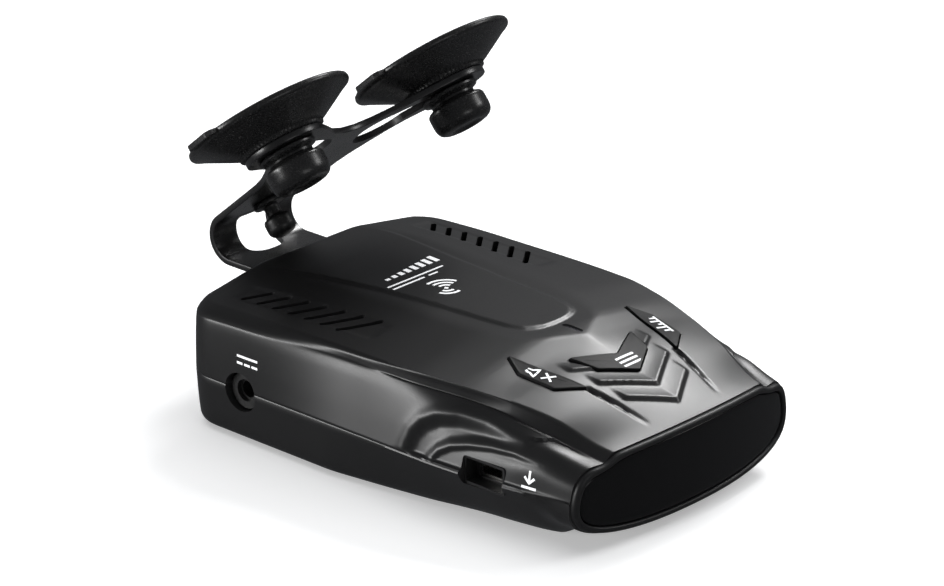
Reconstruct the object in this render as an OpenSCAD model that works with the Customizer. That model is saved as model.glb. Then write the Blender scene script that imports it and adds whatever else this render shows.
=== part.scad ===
// Dashboard radar detector with a clip-in windscreen bracket and two suction cups.
// Frame: origin at the centre of the flat underside of the housing, +Z up,
// display face towards -Y, windscreen end towards +Y, +X to the driver's right.

/* [Housing] */
// Half width of the housing at the seam between the covers
half_w = 37; // [36:0.5:40]
// Wall thickness of both covers
wall = 2; // [1.6:0.1:2.4]
// Height of the flat seam between lower and upper cover
seam_z = 12.2; // [11.5:0.1:12.6]
// Height of the deck on the centre line
deck_z = 31; // [30.5:0.1:32]
// Fall of the front deck towards the display, as a slope
front_fall = 0.302; // [0.28:0.002:0.32]

/* [Display] */
// Radius in plan of the bowed display face
face_r = 145; // [130:1:160]
// Depth of the bezel ring
bezel_t = 2.6; // [2:0.1:3]
// Visible width of the bezel ring
bezel_w = 2; // [1.6:0.1:2.4]

/* [Buttons] */
// Key travel, along the sloped deck's normal
key_travel = 0.6; // [0.4:0.1:0.8]
// Gap round each key cap
key_gap = 0.25; // [0.15:0.05:0.35]

/* [Vents] */
// Number of vent slots on each side of the deck
vent_n = 7; // [5:1:7]
// Width of one vent slot
vent_w = 1.7; // [1.2:0.1:1.9]

/* [Sockets] */
// Radius of the power socket's bore
jack_r = 1.85; // [1.8:0.05:2.3]
// Position along Y of the power socket
jack_y = 36.8; // [35:0.1:38]
// Position along Y of the data socket
usb_y = -28.6; // [-29.5:0.1:-27.5]

/* [Bracket] */
// Lean of the upper bracket plate from the horizontal
lean = 40; // [39:0.5:41]
// Thickness of the bracket strip
plate_t = 1.4; // [1.2:0.1:1.5]
// Half width of the bracket strip
strip_hw = 11.8; // [11:0.1:12]
// Outer radius of the bend behind the housing
bend_r = 5.8; // [5.5:0.1:6.2]

/* [Suction cups] */
// Half distance between the two cups
cup_x = 24.05; // [24:0.05:25]
// Radius of the cup's rim
cup_r = 18.2; // [17.5:0.1:18.5]
// Radius of the neck where it passes through the bracket
neck_r = 4.24; // [4.2:0.01:4.27]
// Radius of the knob at the back of the cup
knob_r = 6.5; // [6:0.1:6.8]

/* [Hidden] */
$fn = 64;
fall_a = atan(front_fall);      // slope angle of the front deck
face_y = -54.2;                 // foremost point of the display face
peak_y = -24.7;                 // where the front slope starts
jack_z = 11.6;
usb_z = 12.55;
pcb_z = 9;
pcb_t = 1.6;
rim_y = 40.4;                   // cup rim centre line
rim_z = 67.9;
plate_d = 7.0;                  // rim plane down to the plate's upper face
slot_z = 24.4;                  // underside of the bracket's lower strip
screw_at = [[28, 47], [-28, 47], [26, -14], [-26, -14]];
pcb_screw_at = [[19.6, 44], [-19.6, 24], [19.6, -30], [-19.6, -12]];

// ---------------------------------------------------------------- helpers
function clamp01(t) = min(1, max(0, t));
function back_arc(y, y0, r) = y <= y0 ? 0 : r * (1 - sqrt(max(0, 1 - pow((y - y0) / r, 2))));
function seam_hw(y) = (y < -14 ? half_w - 3.1 * pow((-14 - y) / 38, 1.6) : half_w) - back_arc(y, 46, 9);
function base_hw(y) = lookup(y, [[-58, 26.4], [-42, 27], [-36, 27.9], [-30, 28.8], [-24, 29.6],
   [-18, 30.8], [-12, 32.2], [-5, 33.4], [5, 34.9], [15, 36], [60, 36]]) - back_arc(y, 46, 9);
function base_z(y) = (y < -36 ? 3.0 * pow((-36 - y) / 18, 2) : 0) + back_arc(y, 51, 4);
function deck_c(y) = (y < peak_y ? deck_z - 0.2 + front_fall * (y - peak_y)
   : lookup(y, [[peak_y, deck_z - 0.2], [-20, deck_z], [10, deck_z], [30, deck_z - 0.4], [45, deck_z - 1.1], [60, deck_z - 1.9]]))
   - back_arc(y, 52, 3);
function crest_x(y) = lookup(y, [[-58, 22.2], [-50, 23.4], [-40, 27.3], [-29, 29.6], [-17, 32.4],
   [-7, 35], [5, 36.3], [60, 36.3]]) - back_arc(y, 46, 9);
function crest_z(y) = lookup(y, [[-58, 17.6], [-50, 19.2], [-40, 21.6], [-29, 23.2], [-17, 24.2],
   [-7, 24.7], [5, 25], [30, 25], [60, 24]]) - back_arc(y, 52, 3);
function edge_z(y) = crest_z(y) + 2.6;

// right-hand half of one cross-section: from the seam up to the deck, and from the seam down
function up_half(y, t) = let(w = seam_hw(y) - t, cx = crest_x(y) - t, cz = crest_z(y) - 0.6 * t,
    ex = cx - 3.2, ez = edge_z(y) - t, zc = deck_c(y) - t, zm = seam_z)
  [[w, zm], [w - 0.14 * (w - cx), zm + 0.45 * (cz - zm)], [w - 0.52 * (w - cx), zm + 0.82 * (cz - zm)],
   [cx, cz], [cx - 1.3, cz + (ez - cz) * 0.62], [ex, ez], [ex * 0.5, zc - (zc - ez) * 0.25]];
function down_half(y, t) = let(w = seam_hw(y) - t, wb = base_hw(y) - t, zb = base_z(y) + t, zm = seam_z)
  [[w, zm], [wb + 0.3 * (w - wb), zb + 4], [wb - 0.5, zb + 1.3], [wb - 3, zb]];
function mirrored(h, mid) = concat(h, mid, [for (i = [len(h) - 1:-1:0]) [-h[i][0], h[i][1]]]);
function up_arc(y, t) = mirrored(up_half(y, t), [[0, deck_c(y) - t]]);
function down_arc(y, t) = mirrored(down_half(y, t), []);

front_y = face_y + bezel_t + 0.15;
stations = [front_y, -47, -41, -33, peak_y, -17, -7, 5, 25, 45, for (a = [30, 60, 90]) 46 + 9 * sin(a)];
function bow(x, y) = (face_r - sqrt(face_r * face_r - x * x)) * clamp01((-30 - y) / (-30 - front_y));
function set_arc(arc, y, t) = [for (p = arc) let(ys = y > 46 ? 46 + (y - 46) * (9 - t) / 9 : y) [p[0], ys + bow(p[0], y), p[1]]];

// one cover as a closed shell: outer skin, inner skin and the edges between them
module cover_shell(upper) {
  outer = [for (y = stations) set_arc(upper ? up_arc(y, 0) : down_arc(y, 0), y, 0)];
  inner = [for (y = stations) set_arc(upper ? up_arc(y, wall) : down_arc(y, wall), y, wall)];
  n = len(outer[0]);
  m = len(stations);
  k = n * m;
  quads = concat(
    [for (j = [0:m - 2]) for (i = [0:n - 2]) let(a = j * n + i) [a, a + 1, a + n + 1, a + n]],
    [for (j = [0:m - 2]) for (i = [0:n - 2]) let(a = k + j * n + i) [a, a + n, a + n + 1, a + 1]],
    [for (j = [0:m - 2]) let(a = j * n) [a, a + n, k + a + n, k + a]],
    [for (j = [0:m - 2]) let(a = j * n + n - 1) [a, k + a, k + a + n, a + n]],
    [for (i = [0:n - 2]) [i, k + i, k + i + 1, i + 1]]);
  last = (m - 1) * n;
  faces = concat([for (q = quads) each [[q[0], q[1], q[2]], [q[0], q[2], q[3]]]],
    [[for (i = [0:n - 1]) last + i], [for (i = [n - 1:-1:0]) k + last + i],
     [last, last + n - 1, k + last + n - 1, k + last]]);
  polyhedron(points = concat([for (r = outer) each r], [for (r = inner) each r]),
    faces = upper ? faces : [for (f = faces) [for (i = [len(f) - 1:-1:0]) f[i]]], convexity = 8);
}

// outline of the display end, seen along Y, shrunk by t
function face_pts(t) = [for (a = [0:5:355]) let(c = cos(a), s = sin(a),
    top = s > 0, h = top ? 10.9 - t : 8.1 - t, w = 33.9 - t,
    e = top ? 0.62 : 0.66)
  [w * sign(c) * pow(abs(c), e), 11.1 + h * sign(s) * pow(abs(s), e)]];

module front_cut(r) { // everything behind a bowed face of radius r
  translate([0, face_y + face_r, -10]) cylinder(r = r, h = 120, $fn = 240);
}
module face_prism(t, y0, y1) {
  translate([0, y1, 0]) rotate([90, 0, 0]) linear_extrude(y1 - y0) polygon(face_pts(t));
}
// frame lying on the sloped front deck: local z along its normal
module on_slope() { translate([0, peak_y, deck_z - 0.2]) rotate([fall_a, 0, 0]) children(); }
// frame of the cup rims: local z along the cup axes, local y down the plate
module on_rim() { translate([0, rim_y, rim_z]) rotate([-lean, 0, 0]) children(); }

function about(pts, k) = let(n = len(pts), cx = sumx(pts, 0, n) / n, cy = sumx(pts, 1, n) / n)
  [for (p = pts) let(d = [p[0] - cx, p[1] - cy], l = norm(d)) [cx + d[0] * (1 + k / l), cy + d[1] * (1 + k / l)]];
function sumx(pts, j, n, i = 0) = i >= n ? 0 : pts[i][j] + sumx(pts, j, n, i + 1);

// key cap outlines in the slope's own plane
side_key = [[-17.7, 5.14], [-20.5, -0.61], [-19.3, -9.03], [-13.4, -13.02]];
menu_key = [[-9.6, -3.56], [0, -8.3], [9.6, -3.56], [7.6, -9.9], [0, -14.6], [-7.6, -9.9]];
// the deck's surface around the side keys, in the slope's frame
function side_w(p) = -0.8369 + -0.118 * abs(p[0]) + -0.1345 * p[1];
// a prism of that tilt, from height a to height b over the surface
module tilted(pts, a, b) {
  n = len(pts);
  polyhedron(points = concat([for (p = pts) [p[0], p[1], side_w(p) + a]], [for (p = pts) [p[0], p[1], side_w(p) + b]]),
    faces = concat([[for (i = [0:n - 1]) i]], [[for (i = [n - 1:-1:0]) n + i]],
      [for (i = [0:n - 1]) [i, n + i, n + (i + 1) % n, (i + 1) % n]]));
}
function flip(pts) = [for (i = [len(pts) - 1:-1:0]) [-pts[i][0], pts[i][1]]];

module slot_bar(x, y, l, a, w, h) { // stadium prism
  translate([x, y, 0]) rotate(a) {
    translate([-(l - w) / 2, -w / 2, 0]) cube([l - w, w, h]);
    for (s = [-1, 1]) translate([s * (l - w) / 2, 0, 0]) cylinder(d = w, h = h, $fn = 24);
  }
}
module vents() {
  for (i = [0:vent_n - 1]) for (s = [-1, 1]) {
    xi = 24.3 - 0.43 * i; yi = 39.9 - 4.79 * i; xo = 28.7; yo = 43.7 - 4.52 * i;
    slot_bar(s * (xi + xo) / 2, (yi + yo) / 2, norm([xo - xi, yo - yi]) + 1.2, s * atan2(yo - yi, xo - xi), vent_w, 10);
  }
}
module jack_hole() { translate([-45, jack_y, jack_z]) rotate([0, 90, 0]) cylinder(r = 4.3, h = 14); }
module usb_hole() {
  translate([-45, usb_y - 5.3, usb_z - 3]) cube([14.2, 10.6, 6]);
}

// ---------------------------------------------------------------- covers
module upper_cover() color([0.09, 0.09, 0.10]) difference() {
  union() {
    cover_shell(true);
    for (p = screw_at) translate([p[0], p[1], seam_z]) cylinder(r = 3, h = 14.2, $fn = 32);
    // posts that carry the speaker
    for (a = [60, 180, 300]) translate([-13 + 13.4 * cos(a), 6 + 13.4 * sin(a), 22.6]) cylinder(r = 1.3, h = a == 180 ? 5.4 : 6.8, $fn = 32);
    // posts for the key board
    for (s = [-1, 1]) on_slope() translate([s * 11.6, 4.2, -9.9]) cylinder(r = 1.9, h = 7.1, $fn = 32);
  }
  for (p = screw_at) translate([p[0], p[1], seam_z - 1]) cylinder(r = 1.25, h = 9);
  for (s = [-1, 1]) on_slope() translate([s * 11.6, 4.2, -11]) cylinder(r = 0.85, h = 6, $fn = 32);
  translate([0, 0, 24]) vents();
  jack_hole();
  usb_hole();
  // key openings
  on_slope() translate([0, 0, -8]) linear_extrude(14) polygon(about(side_key, key_gap));
  on_slope() translate([0, 0, -8]) linear_extrude(14) polygon(about(flip(side_key), key_gap));
  on_slope() translate([0, 0, -6]) linear_extrude(12) polygon([[-9.6 - key_gap, -3.36], [0, -8.0], [9.6 + key_gap, -3.36],
    [7.6 + key_gap, -10.1], [0, -14.9 - key_gap / 4], [-7.6 - key_gap, -10.1]]);
  // light sensor slit
  translate([-0.8, -23.3, 20]) cube([1.6, 4.8, 14]);
  // laser window and bracket slot in the windscreen end
  translate([-25.2, 50, 13.3]) cube([18.4, 8, 8.4]);
  translate([-strip_hw - 0.3, 50, slot_z - 0.25]) cube([2 * strip_hw + 0.6, 8, plate_t + 0.5]);
}

module lower_cover() color([0.07, 0.07, 0.08]) difference() {
  union() {
    cover_shell(false);
    for (p = screw_at) translate([p[0], p[1], 0.5]) cylinder(r = 3.2, h = seam_z - 0.5, $fn = 32);
    for (p = pcb_screw_at) translate([p[0], p[1], 1]) cylinder(r = 2.2, h = pcb_z - 1, $fn = 32);
    // cradle under the power socket
    translate([-32, jack_y - 3, 1]) cube([6, 6, jack_z - 4.5]);
  }
  for (p = screw_at) {
    translate([p[0], p[1], -1]) cylinder(r = 2.6, h = 4.2);
    translate([p[0], p[1], -1]) cylinder(r = 1.4, h = 20);
  }
  for (p = pcb_screw_at) translate([p[0], p[1], 4]) cylinder(r = 0.85, h = 20, $fn = 32);
  jack_hole();
  usb_hole();
}

// ---------------------------------------------------------------- display
module display_bezel() color([0.04, 0.04, 0.045]) difference() {
  intersection() { face_prism(0, -60, -44); front_cut(face_r); }
  front_cut(face_r - bezel_t);
  face_prism(bezel_w, -70, -40);
}
module display_window() color([0.01, 0.01, 0.012]) difference() {
  intersection() { face_prism(bezel_w + 0.1, -60, -44); front_cut(face_r - 0.5); }
  front_cut(face_r - 2.3);
}
module display_module() color([0.12, 0.12, 0.13]) union() {
  translate([-22, -49.8, 5.4]) cube([44, 5.6, 13]);
  translate([-24, -44.2, 4.8]) cube([48, 1.6, 14.2]);
}

// ---------------------------------------------------------------- keys
module key_cap(pts, sx, sy) on_slope() {
  tilted(about(pts, 0), -2.9, 0.5);
  tilted(about(pts, 0.9), -3.2, -2.55);
  translate([sx, sy, -6.5]) cylinder(r = 1.5, h = 2.6, $fn = 32);
}
module mute_button() color([0.11, 0.11, 0.12]) key_cap(side_key, -17.6, -4.6);
module city_button() color([0.11, 0.11, 0.12]) key_cap(flip(side_key), 17.6, -4.6);
module menu_button() color([0.11, 0.11, 0.12]) on_slope() {
  translate([0, 0, -2.6]) linear_extrude(3.0) polygon(menu_key);
  translate([-8, -13.6, -3.5]) cube([16, 6, 0.9]);
  translate([0, -11.4, -6.5]) cylinder(r = 1.5, h = 3.6, $fn = 32);
}
module tact_switches() color([0.55, 0.55, 0.57]) on_slope()
  for (p = [[-17.6, -4.6], [17.6, -4.6], [0, -11.4]]) translate([p[0], p[1], -10]) {
    translate([-3, -3, 0]) cube([6, 6, 2.0]);
    cylinder(r = 1.7, h = 2.8, $fn = 32);
  }
module key_pcb() color([0.05, 0.25, 0.12]) on_slope() difference() {
  translate([-23, -17, -11.2]) cube([46, 23.6, 1.2]);
  for (s = [-1, 1]) translate([s * 11.6, 4.2, -12]) cylinder(r = 1, h = 4, $fn = 32);
}
module flex_cable() color([0.75, 0.55, 0.2]) translate([8, 0, 0]) rotate([90, 0, -90]) linear_extrude(16)
  polygon([[21.6, 18.9], [20.8, 18.9], [15.5, 15.2], [14, 12.6], [14, 10.7], [14.5, 10.7], [14.5, 12.4], [15.9, 14.8]]);
module light_sensor_window() color([0.5, 0.5, 0.52]) union() {
  translate([-0.65, -23.15, 27.2]) cube([1.3, 4.5, 3.4]);
  translate([0, -20.9, 22]) cylinder(r = 0.6, h = 5.6, $fn = 32);
}

// ---------------------------------------------------------------- electronics
module main_pcb() color([0.05, 0.25, 0.12]) difference() {
  union() {
    translate([-22.4, -38, pcb_z]) cube([44.8, 88, pcb_t]);
    translate([-30.8, usb_y - 5.5, pcb_z]) cube([11, 11, pcb_t]);
  }
  for (p = pcb_screw_at) translate([p[0], p[1], 0]) cylinder(r = 1.1, h = 20, $fn = 32);
}
module horn_antenna() color([0.72, 0.72, 0.74]) difference() {
  union() {
    hull() {
      translate([-3, 26, 10.6]) cube([14, 0.1, 8]);
      translate([-9, 50, 10.6]) cube([26, 0.1, 11.6]);
    }
    translate([-5, 16, 10.6]) cube([18, 10, 9]);
  }
  hull() {
    translate([-1.5, 26, 12]) cube([11, 0.1, 5.2]);
    translate([-7.8, 50.2, 11.8]) cube([23.6, 0.1, 9.2]);
  }
  translate([-1.5, 20, 12]) cube([11, 6.1, 5.2]);
}
module antenna_shield() color([0.65, 0.66, 0.68]) difference() {
  translate([-12, -6, pcb_z + pcb_t]) cube([30, 20, 6.4]);
  translate([-11.6, -5.6, pcb_z]) cube([29.2, 19.2, 7.6]);
}
module gps_antenna() color([0.80, 0.74, 0.62]) union() {
  translate([-8, -36.2, pcb_z + pcb_t]) cube([20, 20, 1.2]);
  translate([-7, -35.2, pcb_z + pcb_t + 1.2]) cube([18, 18, 3.2]);
}
module laser_window() color([0.05, 0.01, 0.015]) union() {
  translate([-25, 52.9, 13.5]) cube([18, 1.7, 8]);
  translate([-25.7, 51.7, 12.8]) cube([19.4, 1.2, 9.2]);
}
module laser_receiver() color([0.10, 0.10, 0.11]) union() {
  translate([-21, 41, pcb_z + pcb_t]) cube([10, 6, 9]);
  translate([-16, 46.9, 16]) rotate([-90, 0, 0]) cylinder(r = 3.4, h = 2.4);
}
module speaker() color([0.13, 0.13, 0.14]) translate([-13, 6, 0]) union() {
  translate([0, 0, 24.2]) cylinder(r = 11.85, h = 1.6);
  translate([0, 0, 22]) cylinder(r = 9.5, h = 2.3);
  translate([0, 0, 20]) cylinder(r = 6, h = 2.1);
}
module dc_jack() color([0.10, 0.10, 0.11]) difference() {
  union() {
    translate([-34.4, jack_y - 3.4, jack_z - 3.5]) cube([9.2, 6.8, 7]);
    translate([-35.3, jack_y, jack_z]) rotate([0, 90, 0]) cylinder(r = 3.9, h = 2.2);
  }
  translate([-36, jack_y, jack_z]) rotate([0, 90, 0]) cylinder(r = jack_r, h = 9.7);
  translate([-36, jack_y, jack_z]) rotate([0, 90, 0]) cylinder(r = 2.4, h = 1.7);
}
module usb_socket() color([0.75, 0.75, 0.77]) difference() {
  translate([-31.0, usb_y - 3.85, pcb_z + pcb_t]) cube([8.6, 7.7, 3.9]);
  difference() {
    translate([-31.5, usb_y - 3.45, pcb_z + pcb_t + 0.4]) cube([8.4, 6.9, 3.1]);
    translate([-30.4, usb_y - 2.6, pcb_z + pcb_t + 1.9]) cube([8.5, 5.2, 0.9]);
  }
}

// ---------------------------------------------------------------- bracket clip
module bracket_guide() color([0.10, 0.10, 0.11]) difference() {
  union() {
    translate([-14.2, 31.5, slot_z - 2.2]) cube([28.4, 18.9, 4.2]);
    for (s = [-1, 1]) translate([s * 13.3 - 0.9, 50.3, slot_z - 2.2]) cube([1.8, 2.7, 0.65]);
  }
  translate([-strip_hw - 0.25, 32.7, slot_z - 0.25]) cube([2 * strip_hw + 0.5, 22, plate_t + 0.5]);
  translate([-4.2, 34, slot_z - 1.2]) cube([8.4, 19.5, 1.1]);
}
module bracket_spring() color([0.7, 0.7, 0.72]) translate([-4, 34.4, slot_z - 1.1]) rotate([90, 0, 90]) linear_extrude(8)
  polygon([[0, 0], [17.5, 0], [17.5, 0.4], [12, 0.4], [9.5, 0.8], [8, 0.8], [5.5, 0.4], [0, 0.4]]);

// ---------------------------------------------------------------- fasteners
module case_screws() color([0.6, 0.6, 0.62]) for (p = screw_at) translate([p[0], p[1], 0]) difference() {
  union() {
    translate([0, 0, 1.4]) cylinder(r = 2.3, h = 1.8);
    translate([0, 0, 3.1]) cylinder(r = 1.2, h = 15);
  }
  for (a = [0, 90]) rotate(a) translate([-1.4, -0.25, 1]) cube([2.8, 0.5, 1.3]);
}
module pcb_screws() color([0.6, 0.6, 0.62]) union() {
  for (p = pcb_screw_at) translate([p[0], p[1], pcb_z + pcb_t]) {
    cylinder(r = 1.8, h = 1.2, $fn = 32);
    translate([0, 0, -6]) cylinder(r = 0.8, h = 6.1, $fn = 32);
  }
  for (s = [-1, 1]) on_slope() translate([s * 11.6, 4.2, -12.4]) {
    cylinder(r = 1.8, h = 1.2, $fn = 32);
    cylinder(r = 0.8, h = 7, $fn = 32);
  }
}

// ---------------------------------------------------------------- bracket
plate_oy = rim_y - plate_d * sin(lean);       // a point on the upper plate's outer face
plate_oz = rim_z - plate_d * cos(lean);
bend_z = slot_z + bend_r;
bend_y = plate_oy + (-bend_r - (bend_z - plate_oz) * cos(lean)) / sin(lean);
run = (bend_y + bend_r * sin(lean) - plate_oy) / cos(lean);   // plate length down to the bend

module head_outline() { // swept arms and round ends, in the rim frame
  translate([-strip_hw + 0.05, 12]) square([2 * strip_hw - 0.1, 16]);
  for (s = [-1, 1]) {
    translate([s * cup_x, 0]) circle(r = 8.8);
    polygon([[s * 28, -7.7], [s * 20.5, -8.0], [s * 9, 1.5], [0, 4.5], [0, 26],
      [s * (strip_hw - 0.05), 26], [s * 15.4, 19], [s * 20.5, 11.5], [s * 27.5, 8.1]]);
  }
}
module keyholes() { // openings that let the knobs through, ending at the seats
  for (s = [-1, 1]) {
    translate([s * cup_x, 0]) circle(r = 4.3);
    translate([s * 11.6, 10.2]) circle(r = 6.7);
    polygon([[s * 22.6, -2.3], [s * 10, 3.7], [s * 12.5, 16.8], [s * 24.9, 2.5]]);
  }
}
module bracket_plate() color([0.12, 0.12, 0.13]) {
  arc = [for (a = [-90:7:50]) a];
  stem = run - 22;
  difference() {
    union() {
      // strip from inside the housing round the bend and up the stem
      translate([-strip_hw, 0, 0]) rotate([90, 0, 90]) linear_extrude(2 * strip_hw) polygon(concat(
        [[33.2, slot_z]], [for (a = arc) [bend_y + bend_r * cos(a), bend_z + bend_r * sin(a)]],
        [[bend_y + bend_r * sin(lean) - stem * cos(lean), bend_z + bend_r * cos(lean) + stem * sin(lean)],
         [bend_y + (bend_r - plate_t) * sin(lean) - stem * cos(lean), bend_z + (bend_r - plate_t) * cos(lean) + stem * sin(lean)]],
        [for (i = [len(arc) - 1:-1:0]) [bend_y + (bend_r - plate_t) * cos(arc[i]), bend_z + (bend_r - plate_t) * sin(arc[i])]],
        [[33.2, slot_z + plate_t]]));
      on_rim() translate([0, 0, -plate_d - plate_t + 0.02]) linear_extrude(plate_t - 0.04) head_outline();
    }
    on_rim() translate([0, 0, -plate_d - plate_t - 2]) linear_extrude(plate_t + 4) keyholes();
    // window through the bend
    translate([-5, 63.6, slot_z - 1]) cube([10, 20, 9.4]);
    translate([0, 63.6, slot_z - 1]) cylinder(r = 5, h = 3);
    // hole for the bumper
    on_rim() translate([0, 39.6, -plate_d - plate_t - 1]) cylinder(r = 1.9, h = 5);
  }
}

module suction_cup() { // axis +Z, rim plane at z = 0
  rotate_extrude($fn = 96) polygon([
    [0, -7.6], [0, -5.6], [3.5, -5.4], [9, -3.2], [cup_r - 2.4, -0.15], [cup_r - 1.2, 0], [cup_r - 0.2, 0],
    [cup_r, -0.3], [cup_r, -1.2], [cup_r - 0.6, -1.7], [9, -6.6], [7.6, -6.95], [neck_r, -6.95],
    [neck_r, -plate_d - plate_t - 0.05], [4.9, -plate_d - plate_t - 0.05], [4.9, -11.1], [knob_r - 0.3, -11.1],
    [knob_r, -11.4], [knob_r, -15], [knob_r - 0.5, -16.1], [knob_r - 1.6, -16.8], [3.4, -16.9], [3.2, -16.2], [0, -16.2]]);
  // pull tab
  translate([-cup_r - 2, -4.2, -1.25]) cube([4, 8.4, 1.1]);
}
module suction_cup_left() color([0.07, 0.07, 0.075]) on_rim() translate([-cup_x, 0, 0]) suction_cup();
module suction_cup_right() color([0.07, 0.07, 0.075]) on_rim() translate([cup_x, 0, 0]) suction_cup();

module bumper() color([0.06, 0.06, 0.065]) on_rim() translate([0, 39.6, -plate_d]) rotate_extrude()
  polygon([[0, 1.4], [3.9, 1.4], [4.5, 0.9], [4.7, 0.05], [1.85, 0.05], [1.85, -plate_t - 0.05], [3.6, -plate_t - 0.05],
    [3.6, -2.6], [1.7, -2.8], [1.7, -5.2], [2.9, -5.4], [3.2, -6], [3.2, -8.4], [2.6, -9.3], [1.4, -9.8], [0, -9.9]]);

upper_cover();
lower_cover();
display_bezel();
display_window();
display_module();
mute_button();
menu_button();
city_button();
tact_switches();
key_pcb();
flex_cable();
light_sensor_window();
main_pcb();
horn_antenna();
antenna_shield();
gps_antenna();
laser_window();
laser_receiver();
speaker();
dc_jack();
usb_socket();
bracket_guide();
bracket_spring();
case_screws();
pcb_screws();
bracket_plate();
suction_cup_left();
suction_cup_right();
bumper();
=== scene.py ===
"""Radar detector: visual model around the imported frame. Metres; shapes are worked out in mm and scaled."""
import math

import bmesh
import bpy
import numpy as np
from mathutils import Matrix, Vector
from mathutils.bvhtree import BVHTree


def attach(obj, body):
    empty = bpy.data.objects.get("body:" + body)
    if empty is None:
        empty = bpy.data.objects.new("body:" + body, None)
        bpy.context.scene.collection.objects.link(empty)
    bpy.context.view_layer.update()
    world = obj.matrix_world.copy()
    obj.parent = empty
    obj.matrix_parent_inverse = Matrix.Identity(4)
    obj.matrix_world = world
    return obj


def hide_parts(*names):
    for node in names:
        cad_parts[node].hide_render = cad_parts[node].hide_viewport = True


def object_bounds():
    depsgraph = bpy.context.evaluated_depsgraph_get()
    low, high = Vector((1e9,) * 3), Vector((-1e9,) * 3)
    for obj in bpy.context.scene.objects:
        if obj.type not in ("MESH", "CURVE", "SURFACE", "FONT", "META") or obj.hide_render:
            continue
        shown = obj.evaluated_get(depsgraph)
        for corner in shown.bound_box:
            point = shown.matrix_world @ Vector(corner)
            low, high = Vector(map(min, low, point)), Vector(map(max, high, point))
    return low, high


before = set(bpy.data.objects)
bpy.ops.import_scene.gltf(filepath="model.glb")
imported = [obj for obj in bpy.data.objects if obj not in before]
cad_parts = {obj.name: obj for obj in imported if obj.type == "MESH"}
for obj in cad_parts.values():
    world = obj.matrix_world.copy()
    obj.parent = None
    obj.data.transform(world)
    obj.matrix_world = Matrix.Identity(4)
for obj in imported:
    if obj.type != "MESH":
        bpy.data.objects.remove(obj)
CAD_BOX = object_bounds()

MM = 0.001
scene = bpy.context.scene

# ---------------------------------------------------------------- the shape, in mm, as part.scad has it
HALF_W, WALL, SEAM_Z, FACE_R, FACE_Y, FRONT_Y, PEAK_Y = 37.0, 2.0, 12.2, 145.0, -54.2, -52.9, -24.7
FALL = 0.302


def pchip(table):
    xs = np.array([p[0] for p in table], float)
    ys = np.array([p[1] for p in table], float)
    h = np.diff(xs)
    d = np.diff(ys) / h
    m = np.zeros(len(xs))
    for i in range(1, len(xs) - 1):
        if d[i - 1] * d[i] > 0:
            w1, w2 = 2 * h[i] + h[i - 1], h[i] + 2 * h[i - 1]
            m[i] = (w1 + w2) / (w1 / d[i - 1] + w2 / d[i])
    m[0], m[-1] = d[0], d[-1]

    def f(v):
        v = np.clip(np.asarray(v, float), xs[0], xs[-1])
        i = np.clip(np.searchsorted(xs, v, side="right") - 1, 0, len(xs) - 2)
        t = (v - xs[i]) / h[i]
        return (ys[i] * (1 + 2 * t) * (1 - t) ** 2 + ys[i + 1] * t * t * (3 - 2 * t)
                + h[i] * (m[i] * t * (1 - t) ** 2 - m[i + 1] * t * t * (1 - t)))
    return f


def sstep(a, b, v):
    t = np.clip((np.asarray(v, float) - a) / (b - a), 0, 1)
    return t * t * (3 - 2 * t)


def arc(y, y0, r):
    t = np.clip((np.asarray(y, float) - y0) / r, 0, 1)
    return r * (1 - np.sqrt(1 - t * t))


BASE_HW = pchip([(-58, 26.4), (-42, 27), (-36, 27.9), (-30, 28.8), (-24, 29.6), (-18, 30.8), (-12, 32.2), (-5, 33.4), (5, 34.9), (15, 36), (60, 36)])
DECK = pchip([(PEAK_Y, 30.8), (-20, 31), (10, 31), (30, 30.6), (45, 29.9), (60, 29.1)])
CREST_X = pchip([(-58, 25.0), (-50, 26.2), (-40, 28.5), (-29, 31.3), (-17, 34.4), (-7, 36.1), (5, 36.5), (60, 36.5)])
CREST_Z = pchip([(-58, 17.9), (-50, 19.3), (-40, 22), (-29, 23.9), (-17, 25.2), (-7, 25.6), (5, 25.6), (30, 25.3), (60, 24)])
RIDGE = pchip([(-60, 20.0), (-24.7, 30.8), (-22.6, 31.5), (-20.7, 32.15), (-18.9, 32.45), (-16.6, 32.6), (-12.5, 32.8), (-3.4, 33.1), (10, 33.2), (21, 33.2), (35, 33.0), (45, 32.3), (60, 31.2)])


def seam_hw(y):
    return np.where(y < -14, HALF_W - 4 * (np.clip(-14 - y, 0, None) / 38) ** 1.6, HALF_W) - arc(y, 46, 9)


def base_hw(y): return BASE_HW(y) - arc(y, 46, 9)
def base_z(y): return np.where(y < -36, 3 * (np.clip(-36 - y, 0, None) / 18) ** 2, 0) + arc(y, 51, 4)
def deck_c(y): return np.where(y < PEAK_Y, 30.8 + FALL * (y - PEAK_Y) - 0.85 * (np.clip(-40 - y, 0, None) / 11.45) ** 2, DECK(y)) - arc(y, 52, 3)
def crest_x(y): return CREST_X(y) - arc(y, 46, 9)
def crest_z(y): return CREST_Z(y) - arc(y, 52, 3)


def drop(y): return 2.6 - 0.9 * sstep(-38, -50, y)


def bow(x, y):
    return (FACE_R - np.sqrt(FACE_R ** 2 - np.asarray(x, float) ** 2)) * np.clip((-30 - y) / (-30 - FRONT_Y), 0, 1)


def smin(a, b, k):
    h = np.clip(0.5 + 0.5 * (b - a) / k, 0, 1)
    return b * (1 - h) + a * h - k * h * (1 - h)


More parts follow.
